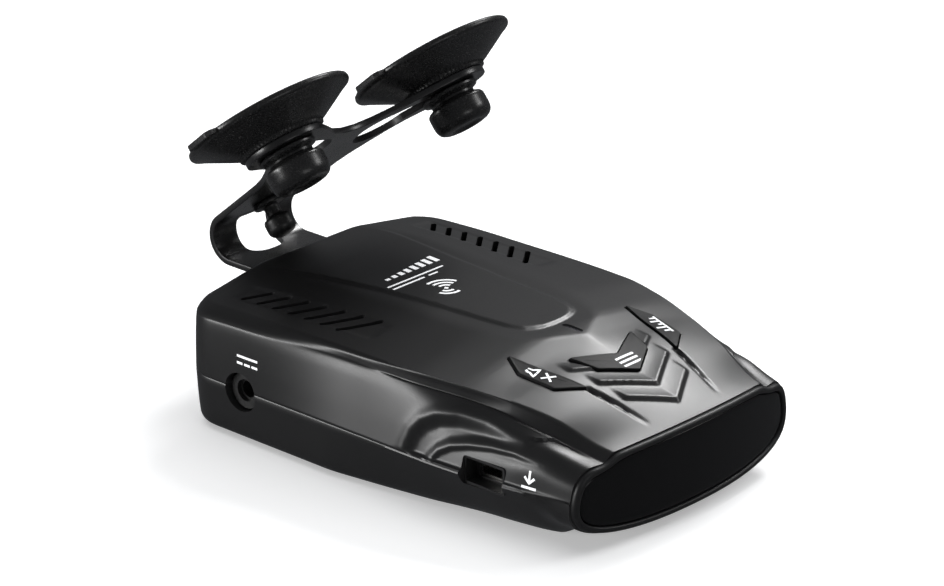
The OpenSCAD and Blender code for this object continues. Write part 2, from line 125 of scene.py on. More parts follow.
def seg_dist(px, py, pts, closed=False):
    """Distance to a polyline, and how far along it the nearest point is (0 to 1)."""
    P = np.array(pts, float)
    if closed:
        P = np.vstack([P, P[:1]])
    L = np.concatenate([[0], np.cumsum(np.hypot(*np.diff(P, axis=0).T))])
    best = np.full(np.shape(px), 1e9)
    at = np.zeros(np.shape(px))
    for i in range(len(P) - 1):
        d = P[i + 1] - P[i]
        t = np.clip(((px - P[i, 0]) * d[0] + (py - P[i, 1]) * d[1]) / (d @ d), 0, 1)
        q = np.hypot(px - P[i, 0] - t * d[0], py - P[i, 1] - t * d[1])
        near = q < best
        best = np.where(near, q, best)
        at = np.where(near, (L[i] + t * (L[i + 1] - L[i])) / L[-1], at)
    return best, at


def inside(px, py, pts):
    P = np.array(pts, float)
    c = np.zeros(np.shape(px), bool)
    for i in range(len(P)):
        (x1, y1), (x2, y2) = P[i], P[(i + 1) % len(P)]
        if y1 != y2:
            hit = ((y1 > py) != (y2 > py)) & (px < (x2 - x1) * (py - y1) / (y2 - y1) + x1)
            c ^= hit
    return c


TONGUE = [(0, -16.9), (3.2, -16.7), (5.4, -16.0), (7.2, -14.4), (8.4, -11.4), (9.1, -5), (10.0, 6.2), (11.6, 21.3), (13.6, 34.0), (15.2, 43), (16, 60), (0, 60)]
GROOVE = [(13.5, -36.9), (12.4, -41.3), (11.3, -46.5), (10.5, -50.2)]


def deck_base(x, y):
    """Height of the bare deck: a flat centre cut into a ridged roof, which turns into a low crown towards the face."""
    ax = np.abs(x)
    yy = y + bow(x, y)
    zc, ex = deck_c(y), crest_x(y) - 3.2
    ez = crest_z(y) + drop(y)
    h = np.where(y < PEAK_Y, zc, RIDGE(y) - arc(y, 52, 3))
    tent = h - (h - ez) * (ax / ex)
    crown = zc - (zc - ez) * (ax / ex) ** 2
    b = sstep(-24.9, -36, yy)
    return (1 - b) * smin(zc, tent, 0.25) + b * crown


def deck_z(x, y):
    """The deck with its raised panel, chevrons and grooves. y is before the face's bow."""
    ax = np.abs(x)
    yy = y + bow(x, y)
    z = deck_base(x, y)
    # raised centre panel
    d, _ = seg_dist(ax, yy, TONGUE)
    s = np.where(inside(ax, yy, TONGUE), d, -d)
    z = z + 0.42 * sstep(-0.55, 0.35, s) * (1 - sstep(38, 50, yy))
    # chevrons: shingle steps, each rising to a sharp front edge
    for y0, k, xm, lift, run in ((-43.2, 0.585, 10.9, 0.68, 4.6), (-48.5, 0.595, 9.8, 0.68, 4.6), (-37.9, 0.585, 12.4, 0.52, 4.0)):
        e = yy - (y0 + k * ax)
        ramp = np.clip(1 - e / run, 0, 1) ** 1.5 * sstep(-0.42, 0.1, e)
        z = z + lift * ramp * (1 - sstep(xm - 0.9, xm + 0.1, ax))
    # side grooves running on from the keys
    d, t = seg_dist(ax, yy, GROOVE)
    z = z - 0.8 * (1 - t) ** 0.8 * np.clip(1 - d / 0.8, 0, 1)
    # shallow ledge that holds the two rows of slots
    q = np.abs(ax - (28.7 + 24.3 - 0.43 * (43.7 - yy) / 4.52) / 2 - 0.2) - 3.0
    r = np.abs(yy - 26.9) - 18.6
    z = z - 0.16 * (1 - sstep(-0.6, 0.4, np.maximum(q, r)))
    return z


BROW = [(-8.6, 12.0), (-9.3, 14.5), (-10.3, 17.2), (-12.2, 19.6), (-15.6, 21.6), (-20.5, 22.5), (-27, 22.7), (-36, 21.9)]
BROW_IN = BROW + [(-60, 21.0), (-60, 12.0)]
USB_ARC = [(-15.3, 11.8), (-16.1, 13.3), (-17.4, 14.9), (-20.0, 16.5), (-24.3, 17.8), (-29.6, 18.7), (-35.0, 19.0), (-41, 18.6)]
USB_IN = USB_ARC + [(-50, 15.5), (-54, 12.2), (-54, 10), (-15.3, 10)]


def side_push(y, z):
    """How far the upper cover's side stands out (+) or in (-) along its normal."""
    inb, inu = inside(y, z, BROW_IN), inside(y, z, USB_IN)
    d, t = seg_dist(y, z, BROW)
    s = np.where(inb, d, -d)
    fade = 1 - sstep(-30, -50, y)
    push = -0.95 * sstep(-0.4, 2.6, s) * fade + 0.32 * np.exp(-((s + 0.4) / 1.3) ** 2) * fade * (1 - sstep(0.72, 1, t))
    d, t = seg_dist(y, z, USB_ARC)
    s = np.where(inu, d, -d)
    f2 = 1 - sstep(-34, -44, y)
    push = push + 0.55 * sstep(-2.2, -0.1, s) * f2 - 0.46 * sstep(-0.1, 0.95, s) * f2
    return push


FRONT_EDGE = np.array([(0, 0), (-0.9, 0.12), (-1.5, 0.62), (-2.2, 1.55), (-2.75, 2.3), (-3.2, 2.6)])
REAR_EDGE = np.array([(0, 0), (-0.32, 0.72), (-0.85, 1.32), (-1.55, 1.82), (-2.35, 2.24), (-3.2, 2.6)])


def spline(P, n):
    """Catmull-Rom through the rows of P (k, stations, 2), n samples a span (a number, or one for each span)."""
    Q = np.concatenate([2 * P[:1] - P[1:2], P, 2 * P[-1:] - P[-2:-1]])
    out = []
    for i in range(len(P) - 1):
        a, b, c, d = Q[i:i + 4]
        for t in np.linspace(0, 1, n if np.isscalar(n) else n[i], endpoint=False):
            out.append(0.5 * ((2 * b) + (c - a) * t + (2 * a - 5 * b + 4 * c - d) * t * t + (3 * b - a - 3 * c + d) * t ** 3))
    out.append(P[-1])
    return np.array(out)


def face_curve(frac, a=33.05, cz=11.1, h=8.6, e=0.66):
    """The lower half of the face's outline at these fractions of the way from its side to the middle of its base."""
    th = np.linspace(0, np.pi / 2, 400)
    x, z = a * np.cos(th) ** e, cz - h * np.sin(th) ** e
    x, z = np.r_[a, x], np.r_[SEAM_Z, z]
    L = np.r_[0, np.cumsum(np.hypot(np.diff(x), np.diff(z)))]
    return np.stack([np.interp(frac * L[-1], L, x), np.interp(frac * L[-1], L, z)], -1)


def map_y(y, t):
    return np.where(y > 46, 46 + (y - 46) * (9 - t) / 9, y)


def upper_section(y, t=0.0, cols=62, n=(16, 16, 14, 4, 3, 4, 4, 3), features=True):
    """Points (columns, stations, 3) of the upper cover from its left seam over the top to the right one."""
    w, cx, cz = seam_hw(y) - t, crest_x(y) - t, crest_z(y) - 0.6 * t
    k = sstep(9, -13, y) if features else 0 * y
    lean = 2.5 * sstep(36, 6, y) * sstep(-40, -20, y)
    pts = [np.stack([w - (0.12 if t == 0 else 0), 0 * y + SEAM_Z], -1), np.stack([w, 0 * y + SEAM_Z + 0.3], -1),
           np.stack([w - .14 * (w - cx), SEAM_Z + (.45 + .15 * sstep(-34, -46, y)) * (cz - SEAM_Z)], -1) - np.stack([.45 * lean, 0 * y], -1),
           np.stack([w - .52 * (w - cx), SEAM_Z + (.82 + .14 * sstep(-34, -46, y)) * (cz - SEAM_Z)], -1) - np.stack([.82 * lean, 0 * y], -1)]
    for f, r, g in zip(FRONT_EDGE, REAR_EDGE, (1.0, 0.86, 0.66, 0.40, 0.16, 0)):
        e = f[None] * k[:, None] + r[None] * (1 - k[:, None])
        pts.append(np.stack([cx + e[:, 0] - g * lean, cz + e[:, 1] * drop(y) / 2.6], -1))
    S = spline(np.array(pts[1:]), n)
    S = np.concatenate([np.array(pts[:1]), S])
    if t == 0 and features:
        tx, tz = np.gradient(S[..., 0], axis=0), np.gradient(S[..., 1], axis=0)
        ln = np.hypot(tx, tz) + 1e-9
        yy = y + bow(S[..., 0], y)
        p = side_push(yy, S[..., 1]) * sstep(0, 1.2, S[..., 1] - SEAM_Z + 0.25)
        S = S + np.stack([tz / ln * p, -tx / ln * p], -1) * (np.arange(len(S)) < 3 + sum(n[:3]))[:, None, None]
    ex = cx - 3.2
    xi = np.linspace(1, 0, cols + 1)[1:]
    X = xi[:, None] * ex[None]
    if t == 0:
        Z = deck_z(X, y[None] + 0 * X)
    else:
        zc, ez = deck_c(y) - t, cz + drop(y)
        Z = zc - (zc - ez) * (X / ex) ** 2
    half = np.concatenate([S, np.stack([X, Z], -1)])
    full = np.concatenate([half[:-1] * [-1, 1], half[::-1]])
    Y = map_y(y, t)[None] + bow(full[..., 0], y[None] + 0 * full[..., 0])
    return np.stack([full[..., 0], Y, full[..., 1]], -1)


def lower_section(y, t=0.0, n=7):
    """The same for the lower cover, from the left seam under the base to the right one."""
    w, wb, zb = seam_hw(y) - t, base_hw(y) - t, base_z(y) + t
    pts = [np.stack([w - (0.12 if t == 0 else 0), 0 * y + SEAM_Z], -1), np.stack([w, 0 * y + SEAM_Z - 0.3], -1),
           np.stack([wb + .3 * (w - wb), zb + 4], -1), np.stack([wb - .5, zb + 1.3], -1), np.stack([wb - 3, zb], -1)]
    S = spline(np.array(pts[1:]), n)
    if t == 0:
        S[:, :, 0] -= 0
    S = np.concatenate([np.array(pts[:1]), S])
    X = np.linspace(1, 0, 13)[1:, None] * (wb - 3)[None]
    half = np.concatenate([S, np.stack([X, zb[None] + 0 * X], -1)])
    if t == 0:
        f = sstep(-40, -49, y)[None, :, None]
        L = np.concatenate([0 * y[None], np.cumsum(np.hypot(*np.moveaxis(np.diff(half[1:], axis=0), -1, 0)), axis=0)])
        half[1:] = half[1:] * (1 - f) + f * face_curve(L / L[-1])
    full = np.concatenate([half[:-1] * [-1, 1], half[::-1]])
    Y = map_y(y, t)[None] + bow(full[..., 0], y[None] + 0 * full[..., 0])
    return np.stack([full[..., 0], Y, full[..., 1]], -1)


# ---------------------------------------------------------------- camera, floor, light
AZ, EL = math.radians(-47.54), math.radians(22.19)
back = Vector((math.sin(AZ) * math.cos(EL), -math.cos(AZ) * math.cos(EL), math.sin(EL)))
right = (-back).cross(Vector((0, 0, 1))).normalized()
up = right.cross(-back)
eye = Vector((0, 0, 0.015)) + back * 0.82 + right * -0.00465 + up * 0.01634
cam_data = bpy.data.cameras.new("camera")
cam = bpy.data.objects.new("camera", cam_data)
scene.collection.objects.link(cam)
cam.matrix_world = Matrix.Translation(eye) @ Matrix((right, up, back)).transposed().to_4x4()
cam_data.sensor_width = 36
cam_data.lens = 4005 / 944 * 36
cam_data.clip_start, cam_data.clip_end = 0.01, 20
scene.camera = cam
scene.view_settings.view_transform = "Standard"


def area(name, at, to, size, size_y, watts, color=(1, 1, 1)):
    d = bpy.data.lights.new(name, "AREA")
    d.shape, d.size, d.size_y, d.energy, d.color = "RECTANGLE", size, size_y, watts, color
    o = bpy.data.objects.new(name, d)
    scene.collection.objects.link(o)
    o.location = at
    o.rotation_euler = (Vector(at) - Vector(to)).to_track_quat("Z", "Y").to_euler()
    return o


area("overhead", (0.0, -0.1, 1.6), (0, 0, 0), 2.2, 2.2, 21).visible_glossy = False
area("far_right", (0.88, 0.22, 0.92), (0, -0.03, 0.02), 0.50, 0.38, 12)
area("left_low", (-1.06, 0.75, 0.15), (-0.03, 0, 0.015), 0.7, 0.24, 9)
area("rim", (0.85, -0.6, 0.7), (0, 0.03, 0.07), 0.4, 0.3, 2.6)
area("front_low", (-0.35, -1.3, 0.5), (0, -0.03, 0.012), 0.7, 0.3, 1.6)

world = bpy.data.worlds.new("studio")
scene.world = world
world.use_nodes = True
world.node_tree.nodes["Background"].inputs["Color"].default_value = (0.93, 0.95, 1.0, 1)
world.node_tree.nodes["Background"].inputs["Strength"].default_value = 0.12


# ---------------------------------------------------------------- materials
def link(t, a, b):
    t.links.new(a, b)


def material(name, base, rough, *, metal=0.0, vary=0.25, scale=90.0, grain=4200.0, bump=0.12, depth=2e-5, spread=0.08,
             wear=0.0, wear_color=(0.2, 0.2, 0.2), streak=None, flecks=0.0, **sockets):
    """A procedural finish: broad colour and gloss variation, fine grain as bump, light wear on edges, flecks."""
    m = bpy.data.materials.new(name)
    m.use_nodes = True
    t = m.node_tree
    p = t.nodes["Principled BSDF"]
    p.inputs["Metallic"].default_value = metal
    for k, v in sockets.items():
        p.inputs[k.replace("_", " ")].default_value = v
    tc = t.nodes.new("ShaderNodeTexCoord")
    mp = t.nodes.new("ShaderNodeMapping")
    mp.inputs["Scale"].default_value = streak or (1, 1, 1)
    link(t, tc.outputs["Object"], mp.inputs["Vector"])
    broad = t.nodes.new("ShaderNodeTexNoise")
    broad.inputs["Scale"].default_value, broad.inputs["Detail"].default_value = scale, 4
    link(t, tc.outputs["Object"], broad.inputs["Vector"])
    fine = t.nodes.new("ShaderNodeTexNoise")
    fine.inputs["Scale"].default_value, fine.inputs["Detail"].default_value = grain, 3
    link(t, mp.outputs["Vector"], fine.inputs["Vector"])
    col = t.nodes.new("ShaderNodeMix")
    col.data_type = "RGBA"
    col.inputs["A"].default_value = (*[c * (1 - vary) for c in base], 1)
    col.inputs["B"].default_value = (*[min(1, c * (1 + vary)) for c in base], 1)
    link(t, broad.outputs["Fac"], col.inputs["Factor"])
    out = col.outputs["Result"]
    rg = t.nodes.new("ShaderNodeMapRange")
    rg.inputs["From Min"].default_value, rg.inputs["From Max"].default_value = 0.3, 0.7
    rg.inputs["To Min"].default_value, rg.inputs["To Max"].default_value = max(0.02, rough - spread), rough + spread
    link(t, fine.outputs["Fac"], rg.inputs["Value"])
    rout = rg.outputs["Result"]
    if flecks:
        v = t.nodes.new("ShaderNodeTexNoise")
        v.inputs["Scale"].default_value, v.inputs["Detail"].default_value = 2600, 2
        link(t, tc.outputs["Object"], v.inputs["Vector"])
        f = t.nodes.new("ShaderNodeMapRange")
        f.inputs["From Min"].default_value, f.inputs["From Max"].default_value = 0.64, 0.74
        f.inputs["To Max"].default_value = flecks
        link(t, v.outputs["Fac"], f.inputs["Value"])
        mx = t.nodes.new("ShaderNodeMix")
        mx.data_type = "RGBA"
        link(t, f.outputs["Result"], mx.inputs["Factor"])
        link(t, out, mx.inputs["A"])
        mx.inputs["B"].default_value = (0.42, 0.41, 0.4, 1)
        out = mx.outputs["Result"]
    if wear:
        g = t.nodes.new("ShaderNodeNewGeometry")
        e = t.nodes.new("ShaderNodeMapRange")
        e.inputs["From Min"].default_value, e.inputs["From Max"].default_value = 0.54, 0.66
        e.inputs["To Max"].default_value = wear
        link(t, g.outputs["Pointiness"], e.inputs["Value"])
        k = t.nodes.new("ShaderNodeMath")
        k.operation = "MULTIPLY"
        link(t, e.outputs["Result"], k.inputs[0])
        link(t, broad.outputs["Fac"], k.inputs[1])
        mx = t.nodes.new("ShaderNodeMix")
        mx.data_type = "RGBA"
        link(t, k.outputs["Value"], mx.inputs["Factor"])
        link(t, out, mx.inputs["A"])
        mx.inputs["B"].default_value = (*wear_color, 1)
        out = mx.outputs["Result"]
    link(t, out, p.inputs["Base Color"])
    link(t, rout, p.inputs["Roughness"])
    if bump:
        b = t.nodes.new("ShaderNodeBump")
        b.inputs["Strength"].default_value, b.inputs["Distance"].default_value = bump, depth
        link(t, fine.outputs["Fac"], b.inputs["Height"])
        link(t, b.outputs["Normal"], p.inputs["Normal"])
    return m


def circuit(name):
    """Green solder mask with lighter traces, from a cell texture."""
    m = material(name, (0.004, 0.035, 0.016), 0.35, vary=0.3, bump=0.25, grain=900)
    t = m.node_tree
    p = t.nodes["Principled BSDF"]
    old = p.inputs["Base Color"].links[0].from_socket
    tc = t.nodes.new("ShaderNodeTexCoord")
    v = t.nodes.new("ShaderNodeTexVoronoi")
    v.distance, v.feature = "MANHATTAN", "DISTANCE_TO_EDGE"
    v.inputs["Scale"].default_value = 420
    link(t, tc.outputs["Object"], v.inputs["Vector"])
    r = t.nodes.new("ShaderNodeMapRange")
    r.inputs["From Min"].default_value, r.inputs["From Max"].default_value = 0.03, 0.08
    r.inputs["To Min"].default_value, r.inputs["To Max"].default_value = 1, 0
    link(t, v.outputs["Distance"], r.inputs["Value"])
    mx = t.nodes.new("ShaderNodeMix")
    mx.data_type = "RGBA"
    link(t, r.outputs["Result"], mx.inputs["Factor"])
    link(t, old, mx.inputs["A"])
    mx.inputs["B"].default_value = (0.02, 0.11, 0.045, 1)
    link(t, mx.outputs["Result"], p.inputs["Base Color"])
    return m


M = {
    "cover_black": material("cover_black_plastic", (0.0080, 0.0080, 0.0083), 0.355, vary=0.18, scale=60, grain=5200, bump=0.10, depth=2e-5, spread=0.045,
                            wear=0.35, wear_color=(0.07, 0.07, 0.072), IOR=1.5),
    "bezel_black": material("bezel_plastic", (0.008, 0.008, 0.0085), 0.42, Specular_IOR_Level=0.3, vary=0.15, scale=70, grain=6000, bump=0.10, wear=0.3, wear_color=(0.08, 0.08, 0.08)),
    "smoked_lens": material("smoked_acrylic", (0.0022, 0.0022, 0.0024), 0.16, vary=0.2, scale=40, grain=700, bump=0.02, depth=1e-5, spread=0.03,
                            Specular_IOR_Level=0.30),
    "inner_plastic": material("inner_plastic", (0.03, 0.03, 0.032), 0.5, bump=0.2),
    "key_black": material("key_plastic", (0.0045, 0.0045, 0.0047), 0.46, Specular_IOR_Level=0.12, vary=0.15, scale=80, grain=6500, bump=0.14, wear=0.5, wear_color=(0.09, 0.09, 0.09)),
    "switch_metal": material("tin_plate", (0.62, 0.62, 0.6), 0.32, metal=1, grain=3000, bump=0.2),
    "circuit_board": circuit("solder_mask"),
    "flex_film": material("polyimide_film", (0.32, 0.12, 0.02), 0.35, vary=0.2, bump=0.1),
    "clear_pipe": material("frosted_light_pipe", (0.06, 0.06, 0.065), 0.22, vary=0.1, bump=0.05, Coat_Weight=0.4),
    "antenna_metal": material("horn_casting", (0.55, 0.55, 0.56), 0.42, metal=1, grain=2200, bump=0.4, depth=4e-5, wear=0.4, wear_color=(0.8, 0.8, 0.8)),
    "ceramic": material("ceramic_patch", (0.55, 0.49, 0.38), 0.6, vary=0.12, bump=0.3),
    "laser_lens": material("dark_red_filter", (0.022, 0.004, 0.005), 0.10, vary=0.2, scale=50, grain=800, bump=0.02, spread=0.03, Coat_Weight=0.5),
    "socket_plastic": material("socket_plastic", (0.012, 0.012, 0.012), 0.42, bump=0.2, wear=0.5, wear_color=(0.1, 0.1, 0.1)),
    "socket_metal": material("nickel_shell", (0.50, 0.49, 0.47), 0.24, metal=1, grain=3800, bump=0.15, streak=(1, 6, 1)),
    "spring_steel": material("spring_steel", (0.42, 0.42, 0.43), 0.28, metal=1, streak=(1, 12, 1), bump=0.2),
    "screw_steel": material("zinc_screw", (0.36, 0.36, 0.37), 0.34, metal=1, bump=0.25, wear=0.5, wear_color=(0.7, 0.7, 0.7)),
    "bracket_metal": material("black_enamelled_steel", (0.006, 0.006, 0.0062), 0.32, vary=0.2, scale=120, grain=2600, bump=0.10, streak=(1, 5, 5),
                              wear=0.6, wear_color=(0.16, 0.16, 0.16), Coat_Weight=0.25, Coat_Roughness=0.25),
    "cup_rubber": material("cup_rubber", (0.007, 0.007, 0.0072), 0.30, vary=0.2, scale=140, grain=3400, bump=0.3, depth=3e-5, flecks=0.10,
                           wear=0.5, wear_color=(0.10, 0.10, 0.10)),
    "bumper_rubber": material("bumper_rubber", (0.0065, 0.0065, 0.0065), 0.42, vary=0.2, bump=0.3, depth=3e-5, flecks=0.2),
}
# white print ink; its emission is a painted glow that makes the marks brighter than the lamps alone would
INK_WITH_PAINTED_GLOW = material("white_ink", (0.86, 0.87, 0.88), 0.5, vary=0.05, scale=900, grain=9000, bump=0.1, depth=6e-6,
               Emission_Color=(0.9, 0.92, 0.95, 1), Emission_Strength=0.25)
FLOOR = material("paper_floor", (0.86, 0.865, 0.87), 0.75, vary=0.02, scale=6, grain=800, bump=0.04,
                 Emission_Color=(1, 1, 1, 1), Emission_Strength=0.36)

bm = bmesh.new()
bmesh.ops.create_grid(bm, x_segments=24, y_segments=24, size=6)
me = bpy.data.meshes.new("floor")
bm.to_mesh(me)
bm.free()
floor = bpy.data.objects.new("floor", me)
floor.location.z = CAD_BOX[0].z - 0.0002
me.materials.append(FLOOR)
scene.collection.objects.link(floor)
floor.visible_glossy = False


# ---------------------------------------------------------------- mesh helpers
def add(name, verts, faces, mat=None, smooth=32.0):
    me = bpy.data.meshes.new(name)
    me.from_pydata((np.asarray(verts, float) * MM).tolist(), [], [list(map(int, f)) for f in faces])
    me.validate()
    me.update()
    o = bpy.data.objects.new(name, me)
    scene.collection.objects.link(o)
    if mat is not None:
        me.materials.append(mat)
    if smooth:
        shade(o, smooth)
    return o


def shade(o, angle=32.0):
    o.data.polygons.foreach_set("use_smooth", [True] * len(o.data.polygons))
    o.data.set_sharp_from_angle(angle=math.radians(angle))


def apply(o, *mods):
    dg = bpy.context.evaluated_depsgraph_get()
    me = bpy.data.meshes.new_from_object(o.evaluated_get(dg), preserve_all_data_layers=False, depsgraph=dg)
    old = o.data
    mats = list(old.materials)
    o.modifiers.clear()
    o.data = me
    me.materials.clear()
    for m in mats:
        me.materials.append(m)
    bpy.data.meshes.remove(old)


def cut(o, cutters, op="DIFFERENCE"):
    """o less the cutters, each (verts, faces) in mm, joined as one mesh first."""
    V, F, n = [], [], 0
    for v, f in cutters:
        V.append(np.asarray(v, float))
        F += [[i + n for i in q] for q in f]
        n += len(v)
    c = add(o.name + "_cutter", np.concatenate(V), F, smooth=0)
    b = bmesh.new()
    b.from_mesh(c.data)
    bmesh.ops.recalc_face_normals(b, faces=b.faces)
    b.to_mesh(c.data)
    b.free()
    m = o.modifiers.new("cut", "BOOLEAN")
    m.object, m.operation, m.solver = c, op, "MANIFOLD"
    apply(o)
    cd = c.data
    bpy.data.objects.remove(c)
    bpy.data.meshes.remove(cd)


def prism(outline, a, b, frame_fn=None, taper=0.0):
    """A prism over a closed outline [(u, v)], from height a to b; frame_fn maps (u, v, w) rows to mm."""
    P = np.asarray(outline, float)
    n = len(P)
    c = P.mean(0)
    lo = np.c_[P, np.full(n, a)]
    hi = np.c_[c + (P - c) * (1 + taper), np.full(n, b)]
    V = np.concatenate([lo, hi])
    F = [list(range(n))[::-1], [n + i for i in range(n)]] + [[i, (i + 1) % n, n + (i + 1) % n, n + i] for i in range(n)]
    return (frame_fn(V) if frame_fn else V), F


def rounded(pts, r, n=4):
    """A closed polygon with its corners rounded to r (one number or one a corner)."""
    P = np.asarray(pts, float)
    k = len(P)
    rs = [r] * k if np.isscalar(r) else r
    out = []
    for i in range(k):
        p, a, b = P[i], P[i - 1] - P[i], P[(i + 1) % k] - P[i]
        la, lb = np.linalg.norm(a), np.linalg.norm(b)
        a, b = a / la, b / lb
        ang = math.acos(max(-1, min(1, float(a @ b)))) / 2
        d = min(rs[i] / max(math.tan(ang), 1e-6), 0.45 * la, 0.45 * lb)
        if rs[i] <= 0 or d < 1e-4:
            out.append(p)
            continue
        for t in np.linspace(0, 1, n + 1):
            out.append((1 - t) ** 2 * (p + a * d) + 2 * t * (1 - t) * p + t * t * (p + b * d))
    return np.array(out)


def slot_outline(p, q, width, n=6):
    p, q = np.asarray(p, float), np.asarray(q, float)
    d = (q - p) / np.linalg.norm(q - p)
    s = np.array([-d[1], d[0]])
    r = width / 2
    out = []
    for c, a0 in ((q, -90), (p, 90)):
        for a in np.linspace(a0, a0 + 180, n + 1):
            out.append(c + r * (math.cos(math.radians(a)) * d + math.sin(math.radians(a)) * s))
    return np.array(out)


def circle(cx, cy, r, n=32):
    a = np.linspace(0, 2 * np.pi, n, endpoint=False)
    return np.c_[cx + r * np.cos(a), cy + r * np.sin(a)]


def grow(outline, d):
    """A closed outline moved outwards by d (inwards if d is below 0)."""
    P = np.asarray(outline, float)
    t = np.roll(P, -1, 0) - np.roll(P, 1, 0)
    t /= np.linalg.norm(t, axis=1)[:, None] + 1e-12
    area2 = np.sum(P[:, 0] * np.roll(P[:, 1], -1) - P[:, 1] * np.roll(P[:, 0], -1))
    n = np.c_[t[:, 1], -t[:, 0]] * (1 if area2 > 0 else -1)
    return P + n * d


def lathe(profile, n=112, mapping=None, name="", mat=None, smooth=30):
    """A solid turned from (r, z) rows that start and end on the axis."""
    P = np.asarray(profile, float)
    a = np.linspace(0, 2 * np.pi, n, endpoint=False)
    V, ring = [], []
    for r, z in P:
        if r < 1e-6:
            ring.append([len(V)])
            V.append((0, 0, z))
        else:
            ring.append(list(range(len(V), len(V) + n)))
            V += [(r * math.cos(t), r * math.sin(t), z) for t in a]
    F = []
    for A, B in zip(ring[:-1], ring[1:]):
        for i in range(n):
            j = (i + 1) % n
            if len(A) == 1 and len(B) == 1:
                break
            if len(A) == 1:
                F.append([A[0], B[i], B[j]])
            elif len(B) == 1:
                F.append([A[i], B[0], A[j]])
            else:
                F.append([A[i], B[i], B[j], A[j]])
    V = np.array(V)
    return (mapping(V) if mapping else V), F


def fix_normals(o):
    b = bmesh.new()
    b.from_mesh(o.data)
    bmesh.ops.remove_doubles(b, verts=b.verts, dist=2e-7)
    bmesh.ops.recalc_face_normals(b, faces=b.faces)
    b.to_mesh(o.data)
    b.free()


def soften(P, n=3, amount=0.25):
    """Corner cutting on an open profile, ends kept."""
    P = np.asarray(P, float)
    for _ in range(n):
        Q = [P[0]]
        for i in range(1, len(P) - 1):
            Q += [P[i] + (P[i - 1] - P[i]) * amount, P[i] + (P[i + 1] - P[i]) * amount]
        Q.append(P[-1])
        P = np.array(Q)
        amount = amount * 0.5 + 0.12
    return P


def slope(V):
    """The front slope's frame (u, v, w) to mm."""
    a = math.radians(16.8)
    V = np.asarray(V, float)
    return np.c_[V[:, 0], PEAK_Y + V[:, 1] * math.cos(a) - V[:, 2] * math.sin(a), 30.8 + V[:, 1] * math.sin(a) + V[:, 2] * math.cos(a)]


def on_deck(V):
    """(u, v, height over the bare deck) in the front slope's frame to mm."""
    V = np.asarray(V, float)
    a = math.radians(16.8)
    w = np.zeros(len(V))
    for _ in range(12):
        y = PEAK_Y + V[:, 1] * math.cos(a) - w * math.sin(a)
        ys = y - bow(V[:, 0], y)
        ys = y - bow(V[:, 0], ys)
        w = (deck_base(V[:, 0], ys) - 30.8 - V[:, 1] * math.sin(a)) / math.cos(a)
    return slope(np.c_[V[:, :2], w + V[:, 2]])


def rim(V):
    """The cups' frame to mm: u across, v towards the bend, w along the cup's axis."""
    a = math.radians(-40)
    V = np.asarray(V, float)
    return np.c_[V[:, 0], 40.4 + V[:, 1] * math.cos(a) - V[:, 2] * math.sin(a), 67.9 + V[:, 1] * math.sin(a) + V[:, 2] * math.cos(a)]


# ---------------------------------------------------------------- covers
def shell(name, section, ys, mat):
    """A closed shell from its outer and inner skins, the inner one at every fourth station."""
    inner_ys = np.concatenate([ys[:-17:4], ys[-17::4]]) if len(ys) > 40 else ys
    keep = [int(np.argmin(np.abs(ys - v))) for v in inner_ys]
    if keep[-1] != len(ys) - 1:
        keep.append(len(ys) - 1)
    O = section(ys, 0.0)
    I = section(ys[keep], WALL)
    nc, ns = O.shape[:2]
    ni = len(keep)
    V = np.concatenate([O.transpose(1, 0, 2).reshape(-1, 3), I.transpose(1, 0, 2).reshape(-1, 3)])
    o = lambda s, c: s * nc + c
    i = lambda s, c: ns * nc + s * nc + c
    F = [[o(s, c), o(s, c + 1), o(s + 1, c + 1), o(s + 1, c)] for s in range(ns - 1) for c in range(nc - 1)]
    F += [[i(s, c), i(s + 1, c), i(s + 1, c + 1), i(s, c + 1)] for s in range(ni - 1) for c in range(nc - 1)]
    F += [[o(0, c), i(0, c), i(0, c + 1), o(0, c + 1)] for c in range(nc - 1)]
    for c in (0, nc - 1):
        for s in range(ni - 1):
            f = [o(q, c) for q in range(keep[s], keep[s + 1] + 1)] + [i(s + 1, c), i(s, c)]
            F.append(f if c == 0 else f[::-1])
    F.append([o(ns - 1, c) for c in range(nc)])
    F.append([i(ni - 1, c) for c in range(nc)][::-1])
    F.append([o(ns - 1, 0), o(ns - 1, nc - 1), i(ni - 1, nc - 1), i(ni - 1, 0)])
    ob = add(name, V, F, mat, smooth=0)
    fix_normals(ob)
    return ob


YS = np.concatenate([np.linspace(FRONT_Y, -16, 109), np.linspace(-16, 46, 84)[1:], 46 + 9 * np.sin(np.linspace(0, np.pi / 2, 18))[1:]])
upper = shell("upper_cover_shell", lambda y, t: upper_section(y, t), YS, M["cover_black"])
YL = np.concatenate([np.linspace(FRONT_Y, -16, 60), np.linspace(-16, 46, 50)[1:], 46 + 9 * np.sin(np.linspace(0, np.pi / 2, 18))[1:]])
lower = shell("lower_cover_shell", lambda y, t: lower_section(y, t), YL, M["cover_black"])

SIDE_KEY = np.array([[-17.7, 5.14], [-20.5, -0.61], [-19.3, -9.03], [-13.4, -13.02]])
MENU_KEY = np.array([[-9.6, -3.56], [0, -8.3], [9.6, -3.56], [7.6, -9.9], [0, -14.6], [-7.6, -9.9]])


def yz(V):
    """(y, z, x) rows to (x, y, z)."""
    return np.asarray(V)[:, [2, 0, 1]]


